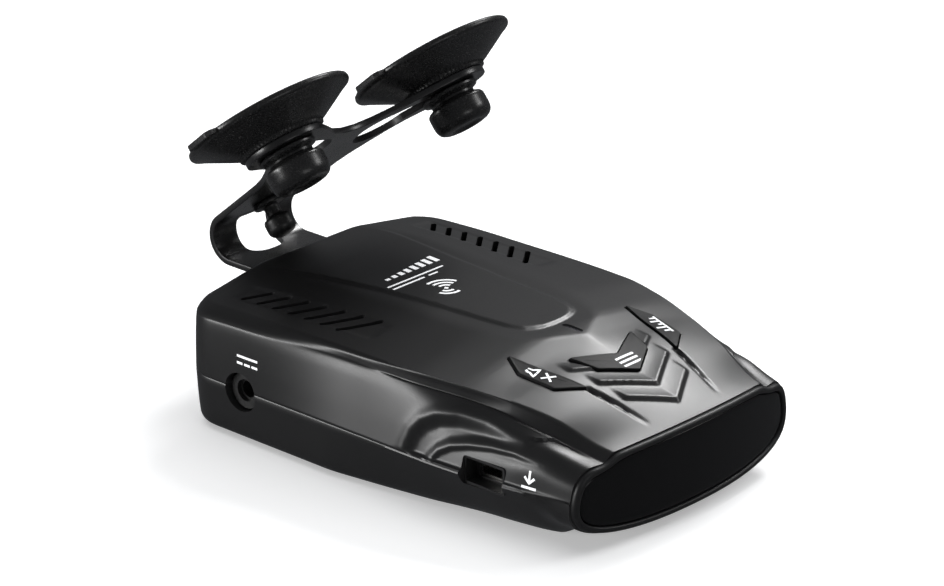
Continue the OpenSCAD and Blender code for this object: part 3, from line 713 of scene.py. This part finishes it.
cuts = []
for s in (-1, 1):
    for k in range(7):
        p = (s * (24.3 - 0.43 * k), 39.9 - 4.79 * k)
        q = (s * 28.7, 43.7 - 4.52 * k)
        cuts.append(prism(slot_outline(p, q, 1.2), 24.0, 34.0))
    key = SIDE_KEY if s < 0 else SIDE_KEY * [-1, 1]
    cuts.append(prism(grow(rounded(key, 0.5), 0.22), -9, 4, slope))
cuts.append(prism(grow(rounded(MENU_KEY, [0.3, 0.2, 0.3, 0.5, 0.5, 0.5]), 0.22), -5, 4, slope))
cuts.append(prism(slot_outline((0, -22.9), (0, -19.1), 1.35), 27.0, 34.0))
cuts.append(prism(rounded([(-12.1, 24.15), (12.1, 24.15), (12.1, 26.05), (-12.1, 26.05)], 0.45), 50.0, 57.0, lambda V: V[:, [0, 2, 1]]))
cuts.append(prism(rounded([(-25.2, 13.3), (-6.8, 13.3), (-6.8, 21.7), (-25.2, 21.7)], 0.6), 50.0, 57.0, lambda V: V[:, [0, 2, 1]]))
usb_hole = rounded([(-33.9, 9.55), (-23.3, 9.55), (-23.3, 15.55), (-33.9, 15.55)], 0.8)
jack_hole = circle(36.8, 11.6, 4.3, 48)
cuts.append(prism(usb_hole, -42, -30.8, yz))
cuts.append(prism(jack_hole, -42, -34.0, yz))
cut(upper, cuts)
low_cuts = [prism(usb_hole, -42, -30.8, yz), prism(jack_hole, -42, -34.0, yz)]
for x in (-28, 28):
    low_cuts.append(prism(circle(x, 47, 2.6), -3, 3.2))
for x in (-26, 26):
    low_cuts.append(prism(circle(x, -14, 2.6), -3, 3.2))
cut(lower, low_cuts)
tray = [add("usb_tray", *prism(grow(usb_hole, -0.02), -34.6, -30.95, yz), M["cover_black"], smooth=0)]
cut(tray[0], [prism(grow(usb_hole, -0.55), -36, -31.6, yz)])
cut(tray[0], [prism(rounded([(-32.6, 10.55), (-24.7, 10.55), (-24.7, 14.6), (-32.6, 14.6)], 0.5), -36, -30, yz)])
shade(tray[0], 30)
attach(tray[0], "housing")
for o, node in ((upper, "upper_cover"), (lower, "lower_cover")):
    shade(o, 38)
    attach(o, "housing")
    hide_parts(node)

dg = bpy.context.evaluated_depsgraph_get()
TREE_UP = BVHTree.FromObject(upper, dg)


# ---------------------------------------------------------------- front ring and window
def face_outline(d=0.0):
    """The covers' shared front outline in (x, z), d mm inside it, softened at the edge of the deck."""
    y = np.array([FRONT_Y, FRONT_Y + 0.3])
    up_ = upper_section(y, 0.0, cols=40, features=True)[1:-1, 0][:, [0, 2]]
    lo_ = lower_section(y, 0.0)[1:-1, 0][:, [0, 2]]
    P = np.concatenate([up_, lo_[::-1]])
    P = P[np.r_[True, np.linalg.norm(np.diff(P, axis=0), axis=1) > 1e-6]]
    L = np.concatenate([[0], np.cumsum(np.linalg.norm(np.diff(np.vstack([P, P[:1]]), axis=0), axis=1))])
    u = np.linspace(0, L[-1], 361)[:-1]
    Q = np.c_[np.interp(u, L, np.r_[P[:, 0], P[0, 0]]), np.interp(u, L, np.r_[P[:, 1], P[0, 1]])]
    for _ in range(16):
        Q = 0.5 * Q + 0.25 * (np.roll(Q, 1, 0) + np.roll(Q, -1, 0))
    steps = max(1, int(abs(d) / 0.1))
    for _ in range(steps):
        Q = grow(Q, -d / steps)
        for _ in range(2):
            Q = 0.5 * Q + 0.25 * (np.roll(Q, 1, 0) + np.roll(Q, -1, 0))
    return Q


def ring_solid(name, rows, mat, close=True):
    """A solid from closed outlines: rows of (inset, depth behind the face's bow), the first and last joined if close."""
    V, n = [], None
    for d, depth in rows:
        Q = face_outline(d)
        n = len(Q)
        V.append(np.c_[Q[:, 0], FACE_Y + bow(Q[:, 0], FRONT_Y) + depth, Q[:, 1]])
    k = len(rows)
    F = []
    for a in range(k if close else k - 1):
        b = (a + 1) % k
        F += [[a * n + i, a * n + (i + 1) % n, b * n + (i + 1) % n, b * n + i] for i in range(n)]
    return np.concatenate(V), F, n


V, F, n = ring_solid("b", [(0.30, 1.28), (0.24, 0.9), (0.24, 0.6), (0.30, 0.36), (0.46, 0.14), (0.70, 0.0), (1.05, 0.0), (1.28, 0.06), (1.46, 0.28), (1.52, 0.6), (1.55, 1.26)], None)
bezel = add("display_bezel_ring", V, F, M["bezel_black"], smooth=0)
fix_normals(bezel)
shade(bezel, 50)
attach(bezel, "housing")
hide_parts("display_bezel")


def lens(name, inset, front, behind, mat):
    """The window: rings of its outline drawn in to a spine, bowed like the face, with a small polished edge."""
    base = face_outline(inset)
    cz = 11.4
    n = len(base)
    V = []
    fr = []
    for k, (d, dep) in enumerate([(0.0, behind), (0.0, front + 0.32), (0.10, front + 0.12), (0.30, front)]):
        Q = base if d == 0 else face_outline(inset + d)
        V.append(np.c_[Q[:, 0], FACE_Y + bow(Q[:, 0], FRONT_Y) + dep, Q[:, 1]])
    Q = face_outline(inset + 0.30)
    spine = np.c_[np.clip(Q[:, 0], -22, 22), np.full(n, cz)]
    for t in (0.12, 0.3, 0.5, 0.7, 0.88):
        R = Q * (1 - t) + spine * t
        V.append(np.c_[R[:, 0], FACE_Y + bow(R[:, 0], FRONT_Y) + front, R[:, 1]])
    k = len(V)
    F = [[a * n + i, a * n + (i + 1) % n, (a + 1) * n + (i + 1) % n, (a + 1) * n + i] for a in range(k - 1) for i in range(n)]
    F.append([(k - 1) * n + i for i in range(n)])
    F.append(list(range(n))[::-1])
    o = add(name, np.concatenate(V), F, mat, smooth=0)
    b = bmesh.new()
    b.from_mesh(o.data)
    bmesh.ops.recalc_face_normals(b, faces=b.faces)
    bmesh.ops.triangulate(b, faces=[f for f in b.faces if len(f.verts) > 4])
    b.to_mesh(o.data)
    b.free()
    shade(o, 40)
    return o


window = lens("display_window_lens", 1.64, 0.42, 1.24, M["smoked_lens"])
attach(window, "housing")
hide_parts("display_window")


# ---------------------------------------------------------------- keys
def slope_w(p):
    """Height of the bare deck over the slope's plane at (u, v)."""
    q = on_deck(np.array([[p[0], p[1], 0.0]]))[0]
    a = math.radians(16.8)
    return -(q[1] - PEAK_Y) * math.sin(a) + (q[2] - 30.8) * math.cos(a)


def nearest_on(P, line):
    """The nearest points to P on a polyline."""
    line = np.asarray(line, float)
    best, out = np.full(len(P), 1e9), np.zeros_like(P)
    for p, q in zip(line[:-1], line[1:]):
        k = np.clip((P - p) @ (q - p) / ((q - p) @ (q - p)), 0, 1)[:, None]
        c = p + k * (q - p)
        d = np.linalg.norm(P - c, axis=1)
        out[d < best] = c[d < best]
        best = np.minimum(best, d)
    return out


def key(name, node, body, outline, top, radii, dish, stem, spine):
    """A moulded key: rounded outline, rolled top edge, slightly dished top that follows the deck, flange and stem behind."""
    out = rounded(outline, radii, 5)
    L = np.r_[0, np.cumsum(np.linalg.norm(np.diff(np.vstack([out, out[:1]]), axis=0), axis=1))]
    u = np.linspace(0, L[-1], 145)[:-1]
    out = np.c_[np.interp(u, L, np.r_[out[:, 0], out[0, 0]]), np.interp(u, L, np.r_[out[:, 1], out[0, 1]])]
    rows = [(0.85, -3.2), (0.85, -2.57), (0.0, -2.55), (0.0, top - 0.30), (-0.04, top - 0.14), (-0.14, top - 0.03), (-0.28, top)]
    n = len(out)
    V = [np.c_[grow(out, d), np.full(n, z)] for d, z in rows]
    R = grow(out, -0.28)
    S = nearest_on(R, spine)
    for t in (0.12, 0.26, 0.42, 0.58, 0.74, 0.88):
        V.append(np.c_[R * (1 - t) + S * t, np.full(n, top - dish * min(1, t * 3))])
    k = len(V)
    F = [[a * n + i, a * n + (i + 1) % n, (a + 1) * n + (i + 1) % n, (a + 1) * n + i] for a in range(k - 1) for i in range(n)]
    F += [[(k - 1) * n + i for i in range(n)], list(range(n))[::-1]]
    V = on_deck(np.concatenate(V))
    o = add(name, V, F, M["key_black"], smooth=0)
    fix_normals(o)
    foot = slope_w(stem)
    v, f = prism(circle(stem[0], stem[1], 1.5, 24), -6.5, foot - 2.8, slope)
    cut(o, [(v, f)], "UNION")
    shade(o, 32)
    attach(o, body)
    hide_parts(node)
    return o


SIDE_SPINE = np.array([(-18.4, 1.6), (-18.0, -3.5), (-15.6, -9.6)])
mute = key("mute_button_cap", "mute_button", "mute_key", SIDE_KEY, 0.5, [0.5, 0.6, 0.7, 0.5], 0.04, (-17.6, -4.6), SIDE_SPINE)
city = key("city_button_cap", "city_button", "city_key", (SIDE_KEY * [-1, 1])[::-1], 0.5, [0.5, 0.7, 0.6, 0.5], 0.04, (17.6, -4.6), SIDE_SPINE * [-1, 1])
menu = key("menu_button_cap", "menu_button", "menu_key", MENU_KEY[::-1], 0.62, [0.5, 0.5, 0.5, 0.35, 0.25, 0.35], 0.04, (0, -11.4), [(-8.3, -6.2), (0, -11.45), (8.3, -6.2)])

BUMPER = [(0, 1.4), (3.9, 1.4), (4.5, 0.9), (4.7, 0.05), (1.85, 0.05), (1.85, -1.45), (3.6, -1.45), (3.6, -2.6), (1.7, -2.8), (1.7, -5.2),
          (2.9, -5.4), (3.2, -6), (3.2, -8.4), (2.6, -9.3), (1.4, -9.8), (0, -9.9)]


# ---------------------------------------------------------------- bracket: a flat blank, punched, then bent
V_END, V_B0, V_B1, RUN = 88.06, 55.86, 43.4, 43.4
half = [(0, 4.5), (4.5, 3.6), (9, 1.2), (14, -3.1)]
half += [(24.05 + 8.8 * math.cos(math.radians(a)), 8.8 * math.sin(math.radians(a))) for a in np.linspace(-122, 67, 34)]
half += [(24.0, 9.8), (20.5, 12.0), (17.6, 15.4), (15.0, 19.8), (12.9, 23.8), (11.9, 27.5), (11.8, 31)]
half += [(11.8, V) for V in (40, 60, 80)] + [(11.8, 86.4), (11.3, 87.5), (10.2, 88.0)]
blank = np.array(half[1:] + [(-x, v) for x, v in half[::-1][:-1]] + [half[0]])
for _ in range(1):
    q = np.repeat(blank, 2, axis=0)
    q[1::2] = 0.5 * (blank + np.roll(blank, -1, 0))
    blank = q
rows = [(-0.14, -0.68), (-0.04, -0.60), (0.0, -0.46), (0.0, 0.46), (-0.04, 0.60), (-0.14, 0.68)]
nb = len(blank)
BV = np.concatenate([np.c_[grow(blank, d), np.full(nb, h)] for d, h in rows])
BF = [[a * nb + i, a * nb + (i + 1) % nb, (a + 1) * nb + (i + 1) % nb, (a + 1) * nb + i] for a in range(5) for i in range(nb)]
BF += [[5 * nb + i for i in range(nb)], list(range(nb))[::-1]]
plate = add("bracket_plate_bent", BV, BF, M["bracket_metal"], smooth=0)
fix_normals(plate)
for s in (-1, 1):
    cut(plate, [prism(circle(s * 24.05, 0, 4.3, 56), -2, 2)])
    cut(plate, [prism(circle(s * 11.6, 10.2, 6.7, 72), -2, 2)])
    cut(plate, [prism(np.array([(22.6, -2.3), (10, 3.7), (12.5, 16.8), (24.9, 2.5)]) * [s, 1], -2, 2)])
cut(plate, [prism(rounded([(-5, 45.2), (5, 45.2), (5, 57.7), (-5, 57.7)], [1.5, 1.5, 4.9, 4.9], 10), -2, 2), prism(circle(0, 39.6, 1.9, 40), -2, 2)])
b = bmesh.new()
b.from_mesh(plate.data)
for v in list(np.linspace(V_B1 - 0.01, V_B0 + 0.01, 30)):
    bmesh.ops.bisect_plane(b, geom=b.verts[:] + b.edges[:] + b.faces[:], plane_co=(0, v * MM, 0), plane_no=(0, 1, 0), dist=1e-7)
for vert in b.verts:
    u, v, n = vert.co / MM
    if v <= V_B1:
        p = rim(np.array([[u, v, -7.7 + n]]))[0]
    elif v >= V_B0:
        p = (u, 65.43 - (v - V_B0), 25.1 - n)
    else:
        a = math.radians(50 - 140 * (v - V_B1) / (V_B0 - V_B1))
        p = (u, 65.43 + (5.1 + n) * math.cos(a), 30.2 + (5.1 + n) * math.sin(a))
    vert.co = Vector(p) * MM
bmesh.ops.recalc_face_normals(b, faces=b.faces)
b.to_mesh(plate.data)
b.free()
shade(plate, 28)
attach(plate, "bracket")
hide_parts("bracket_plate")


# ---------------------------------------------------------------- cups and stop pad
CUP = [(0, -7.6), (0, -5.6), (3.5, -5.4), (9, -3.2), (15.8, -0.15), (16.4, 0.0), (17.0, 0.0), (17.8, 0.0), (18.2, -0.3), (18.2, -1.45),
       (18.0, -1.62), (17.5, -1.72), (17.2, -1.85), (10.2, -5.75), (9.5, -5.95), (9.3, -6.05), (9.3, -6.9), (9.1, -6.97), (7.6, -6.95), (4.24, -6.95), (4.24, -8.45),
       (6.2, -8.45), (6.38, -8.62), (6.38, -9.45), (6.2, -9.65), (5.0, -9.75), (4.8, -9.95), (4.8, -10.7), (5.0, -10.95), (6.1, -11.1), (6.5, -11.55), (6.5, -14.6), (6.42, -15.3),
       (6.0, -16.1), (5.2, -16.65), (4.4, -16.9), (3.6, -16.9), (3.35, -16.7), (3.2, -16.2), (1.4, -16.2), (1.2, -16.35), (0, -16.4)]


def fine(P, step=0.5):
    """More points on a profile's long straight runs, and corners eased a little."""
    P = np.asarray(P, float)
    out = [P[0]]
    for a, c in zip(P[:-1], P[1:]):
        k = max(1, int(np.linalg.norm(c - a) / step))
        out += [a + (c - a) * (j + 1) / k for j in range(k)]
    P = np.array(out)
    for _ in range(2):
        P[1:-1] = 0.5 * P[1:-1] + 0.25 * (P[:-2] + P[2:])
    return P


for side, x in (("left", -24.05), ("right", 24.05)):
    prof = CUP[1:]
    v, f = lathe(fine(prof, 0.42), 192, lambda V: V)
    cup = add("suction_cup_%s_turned" % side, v, f, M["cup_rubber"], smooth=0)
    fix_normals(cup)
    co = np.empty(len(cup.data.vertices) * 3)
    cup.data.vertices.foreach_get("co", co)
    co = co.reshape(-1, 3) / MM
    r = np.hypot(co[:, 0], co[:, 1])
    ribbed = (np.abs(r - 9.28) < 0.2) & (co[:, 2] > -6.95) & (co[:, 2] < -6.0)
    f = 1 + 0.02 * np.cos(64 * np.arctan2(co[:, 1], co[:, 0])) * ribbed
    cup.data.vertices.foreach_set("co", (co * np.c_[f, f, np.ones(len(f))] * MM).ravel())
    tab = rounded([(-16.4, -4.2), (-19.4, -4.2), (-20.2, -3.0), (-20.2, 3.0), (-19.4, 4.2), (-16.4, 4.2)], 0.6)
    cut(cup, [prism(tab, -1.2, -0.2, taper=-0.02)], "UNION")
    grip = [prism(slot_outline((-19.3, q), (-18.7, q), 0.36), -0.36, 0.1) for q in (-2.4, -1.2, 0, 1.2, 2.4)]
    cut(cup, grip)
    co = np.empty(len(cup.data.vertices) * 3)
    cup.data.vertices.foreach_get("co", co)
    co = rim(co.reshape(-1, 3) / MM + [x, 0, 0]) * MM
    cup.data.vertices.foreach_set("co", co.ravel())
    cup.data.update()
    shade(cup, 34)
    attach(cup, side + "_cup")
    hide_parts("suction_cup_" + side)

v, f = lathe(fine(BUMPER, 0.3), 72, lambda V: rim(V + [0, 39.6, -7.0]))
pad = add("bumper_turned", v, f, M["bumper_rubber"], smooth=0)
fix_normals(pad)
shade(pad, 34)
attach(pad, "bracket")
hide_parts("bumper")


# ---------------------------------------------------------------- printed marks: generic icons only
def strokes(name, body, lines, width, place, step=0.5, lift=0.035, sink=0.03):
    """Thin raised ink strips along 2-D polylines; place maps (u, v, height above the surface) to mm."""
    V, F = [], []
    for pts in lines:
        P = np.asarray(pts, float)
        fill = [P[0]]
        for a, c in zip(P[:-1], P[1:]):
            k = max(1, int(np.linalg.norm(c - a) / step))
            fill += [a + (c - a) * (j + 1) / k for j in range(k)]
        P = np.array(fill)
        t = np.gradient(P, axis=0)
        t /= np.linalg.norm(t, axis=1)[:, None]
        s = np.c_[-t[:, 1], t[:, 0]] * width / 2
        k = len(P)
        base = len(V)
        for h in (lift, -sink):
            for w in (-1.0, -0.33, 0.33, 1.0):
                V += [(*q, h) for q in (P + s * w)]
        m = 4
        o = lambda h, w, j: base + (h * m + w) * k + j
        for j in range(k - 1):
            for w in range(m - 1):
                F.append([o(0, w, j), o(0, w + 1, j), o(0, w + 1, j + 1), o(0, w, j + 1)])
                F.append([o(1, w, j), o(1, w, j + 1), o(1, w + 1, j + 1), o(1, w + 1, j)])
            F.append([o(0, 0, j), o(0, 0, j + 1), o(1, 0, j + 1), o(1, 0, j)])
            F.append([o(0, m - 1, j), o(1, m - 1, j), o(1, m - 1, j + 1), o(0, m - 1, j + 1)])
        for j in (0, k - 1):
            for w in range(m - 1):
                q = [o(0, w, j), o(1, w, j), o(1, w + 1, j), o(0, w + 1, j)]
                F.append(q if j == 0 else q[::-1])
    ob = add(name, place(np.array(V)), F, INK_WITH_PAINTED_GLOW, smooth=0)
    fix_normals(ob)
    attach(ob, body)
    return ob


def deck_at(origin, ux, uy):
    def place(V):
        out = []
        for u, v, h in V:
            x, y = origin[0] + u * ux[0] + v * uy[0], origin[1] + u * ux[1] + v * uy[1]
            p, n, _, _ = TREE_UP.ray_cast(Vector((x, y, 60)) * MM, Vector((0, 0, -1)))
            out.append(np.array(p) / MM + np.array(n) * h)
        return np.array(out)
    return place


def side_at(y0, z0):
    def place(V):
        out = []
        for u, v, h in V:
            p, n, _, _ = TREE_UP.ray_cast(Vector((-60, y0 - u, z0 + v)) * MM, Vector((1, 0, 0)))
            out.append(np.array(p) / MM + np.array(n) * h)
        return np.array(out)
    return place


def key_at(cx, cy, top, ang):
    c, s = math.cos(math.radians(ang)), math.sin(math.radians(ang))
    return lambda V: on_deck(np.c_[cx + V[:, 0] * c - V[:, 1] * s, cy + V[:, 0] * s + V[:, 1] * c, top + V[:, 2]])


def arcs(cx, cy, radii, a0, a1, n=14):
    return [[(cx + r * math.cos(a), cy + r * math.sin(a)) for a in np.radians(np.linspace(a0, a1, n))] for r in radii]


# a dish with waves and a level bar, on the deck
strokes("print_deck_waves", "housing", arcs(-2.4, 10.2, (1.6, 3.0, 4.4), 15, 105) + arcs(-2.4, 10.2, (1.6, 3.0), 195, 285), 0.62, deck_at((0, 1.0), (1, 0), (0, 1)))
strokes("print_deck_dot", "housing", [[(-2.75, 11.0), (-2.05, 11.4)]], 0.8, deck_at((0, 0), (1, 0), (0, 1)))
bars = [[(-9.6 + 2.1 * i, 22.6), (-9.6 + 2.1 * i, 22.6 + 0.9 + 0.34 * i)] for i in range(8)]
strokes("print_deck_level", "housing", bars, 1.15, deck_at((0, 0.4), (1, 0), (0.12, 1)))
strokes("print_deck_rule", "housing", [[(-10.2, 20.3), (6.3, 20.3)]], 0.5, deck_at((0, 0), (1, 0), (0, 1)))
strokes("print_deck_rule_short", "housing", [[(-10.2, 18.7), (-1.0, 18.7)], [(0.4, 18.7), (3.0, 18.7)]], 0.5, deck_at((0, 0), (1, 0), (0, 1)))
# a muted speaker, a list, and a skyline on the keys
speaker = [[(-3.4, -0.55), (-3.4, 0.55), (-2.5, 0.55), (-1.3, 1.45), (-1.3, -1.45), (-2.5, -0.55), (-3.4, -0.55)], [(0.2, -1.1), (2.4, 1.1)], [(0.2, 1.1), (2.4, -1.1)]]
strokes("print_mute", "mute_key", speaker, 0.46, key_at(-17.6, -4.4, 0.46, -77))
strokes("print_menu", "menu_key", [[(-2.6, 1.35), (2.6, 1.35)], [(-2.6, 0.1), (2.6, 0.1)], [(-2.6, -1.15), (2.6, -1.15)]], 0.56, key_at(0.3, -11.2, 0.57, 0))
town = [[(-3.4, -1.3), (3.4, -1.3)], [(-2.7, -1.3), (-2.7, 0.4)], [(-1.35, -1.3), (-1.35, 1.4)], [(0.0, -1.3), (0.0, -0.1)], [(1.35, -1.3), (1.35, 1.0)], [(2.7, -1.3), (2.7, 0.2)]]
strokes("print_city", "city_key", town, 0.5, key_at(17.6, -4.4, 0.45, 77))
# direct-current sign by the jack, and an arrow onto a line by the socket
strokes("print_current", "housing", [[(-2.9, 0.75), (2.9, 0.75)], [(-2.9, -0.75), (-1.3, -0.75)], [(-0.8, -0.75), (0.8, -0.75)], [(1.3, -0.75), (2.9, -0.75)]], 0.5,
        side_at(34.6, 19.0))
strokes("print_download", "housing", [[(0, 1.7), (0, -0.75)], [(-1.15, 0.35), (0, -0.85), (1.15, 0.35)], [(-1.7, -1.75), (1.7, -1.75)]], 0.5, side_at(-39.6, 14.9))


# ---------------------------------------------------------------- carried-over CAD nodes: their own finishes
for name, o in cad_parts.items():
    for s in o.material_slots:
        got = (s.material.name if s.material else "").split(".")[0]
        for k in M:
            if k in got:
                s.material = M[k]
                break
